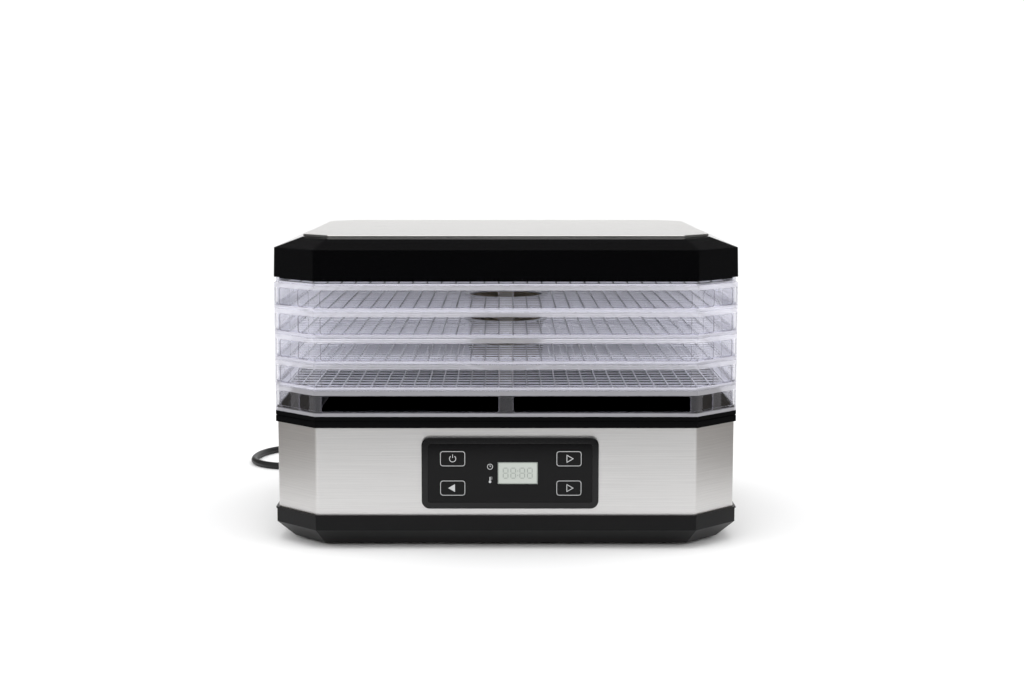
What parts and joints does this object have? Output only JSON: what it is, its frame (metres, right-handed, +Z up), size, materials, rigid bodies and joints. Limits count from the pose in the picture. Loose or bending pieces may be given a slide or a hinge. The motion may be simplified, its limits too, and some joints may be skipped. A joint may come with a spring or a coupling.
{
  "type": "food dehydrator",
  "caption": "Countertop food dehydrator: heated fan base with a steel band and control panel, clear stacking mesh trays and a lid.",
  "frame": {"origin": "on the floor, under the middle of the plan outline, which is also the fan's axis", "axes": "+Z up, -Y towards the control panel at the front, +X to the right seen from the front"},
  "size_m": [0.4058, 0.4303, 0.2271],
  "materials": {
    "black_abs": "glossy moulded ABS",
    "black_gloss": "high gloss panel",
    "brushed_steel": "horizontal brushed",
    "clear_plastic": "clear moulded styrene",
    "rubber": "matt",
    "plated_steel": "zinc plated",
    "motor_steel": "drawn steel can",
    "fan_plastic": "moulded",
    "mica": "pressed mica sheet",
    "heater_wire": "wound resistance wire",
    "component_black": "moulded",
    "transformer_yellow": "taped",
    "fuse_metal": "satin",
    "board_green": "solder mask",
    "display_glass": "display glass",
    "display_back": "moulded",
    "cord_sheath": "satin sheath",
    "plug_pin_metal": "nickel plated"
  },
  "bodies": {
    "base": {"air_duct": "black_abs", "base_screws": "plated_steel", "board_screws": "plated_steel", "bottom_cover": "black_abs", "bracket_screws": "plated_steel", "capacitor": "component_black", "control_bezel": "black_gloss", "control_board": "board_green", "control_overlay": "black_gloss", "cord_coil": "cord_sheath", "deck": "black_abs", "display_module": "display_back", "display_window": "display_glass", "fan_motor": "motor_steel", "heater_coil": "heater_wire", "heater_frame": "mica", "heater_relay": "component_black", "key_switches": "component_black", "motor_bracket": "plated_steel", "motor_screws": "plated_steel", "outlet_guard": "black_abs", "plug_body": "cord_sheath", "plug_pins": "plug_pin_metal", "power_board": "board_green", "power_cord": "cord_sheath", "rubber_feet": "rubber", "steel_band": "brushed_steel", "strain_relief": "cord_sheath", "temperature_sensor": "fuse_metal", "terminal_block": "component_black", "thermal_fuse": "fuse_metal", "thermostat": "component_black", "transformer": "transformer_yellow"},
    "fan": {"impeller": "fan_plastic", "motor_shaft": "plated_steel"},
    "key_power": {"key_power": "black_gloss"},
    "key_down": {"key_down": "black_gloss"},
    "key_up": {"key_up": "black_gloss"},
    "key_timer": {"key_timer": "black_gloss"},
    "tray_5": {"tray_5_frame": "clear_plastic", "tray_5_mesh": "clear_plastic", "tray_5_collar": "clear_plastic"},
    "tray_4": {"tray_4_frame": "clear_plastic", "tray_4_mesh": "clear_plastic", "tray_4_collar": "clear_plastic"},
    "tray_3": {"tray_3_frame": "clear_plastic", "tray_3_mesh": "clear_plastic", "tray_3_collar": "clear_plastic"},
    "tray_2": {"tray_2_frame": "clear_plastic", "tray_2_mesh": "clear_plastic", "tray_2_collar": "clear_plastic"},
    "tray_1": {"tray_1_frame": "clear_plastic", "tray_1_mesh": "clear_plastic", "tray_1_collar": "clear_plastic"},
    "lid": {"lid_shell": "black_abs", "lid_panel": "brushed_steel", "panel_clips": "plated_steel"}
  },
  "joints": [
    {"name": "fan_spin", "type": "hinge", "parent": "base", "child": "fan", "pos_m": [0, 0, 0.04], "axis": [0, 0, 1], "continuous": true},
    {"name": "key_power_press", "type": "slide", "parent": "base", "child": "key_power", "axis": [0, 1, 0], "range_m": [0, 0.0004], "stiffness_N_per_m": 900, "springref_m": -0.0002},
    {"name": "key_down_press", "type": "slide", "parent": "base", "child": "key_down", "axis": [0, 1, 0], "range_m": [0, 0.0004], "stiffness_N_per_m": 900, "springref_m": -0.0002},
    {"name": "key_up_press", "type": "slide", "parent": "base", "child": "key_up", "axis": [0, 1, 0], "range_m": [0, 0.0004], "stiffness_N_per_m": 900, "springref_m": -0.0002},
    {"name": "key_timer_press", "type": "slide", "parent": "base", "child": "key_timer", "axis": [0, 1, 0], "range_m": [0, 0.0004], "stiffness_N_per_m": 900, "springref_m": -0.0002},
    {"name": "tray_5_lift", "type": "slide", "parent": "base", "child": "tray_5", "axis": [0, 0, 1], "range_m": [0, 0.06]},
    {"name": "tray_4_lift", "type": "slide", "parent": "tray_5", "child": "tray_4", "axis": [0, 0, 1], "range_m": [0, 0.06]},
    {"name": "tray_3_lift", "type": "slide", "parent": "tray_4", "child": "tray_3", "axis": [0, 0, 1], "range_m": [0, 0.06]},
    {"name": "tray_2_lift", "type": "slide", "parent": "tray_3", "child": "tray_2", "axis": [0, 0, 1], "range_m": [0, 0.06]},
    {"name": "tray_1_lift", "type": "slide", "parent": "tray_2", "child": "tray_1", "axis": [0, 0, 1], "range_m": [0, 0.06]},
    {"name": "lid_lift", "type": "slide", "parent": "tray_1", "child": "lid", "axis": [0, 0, 1], "range_m": [0, 0.06]}
  ]
}
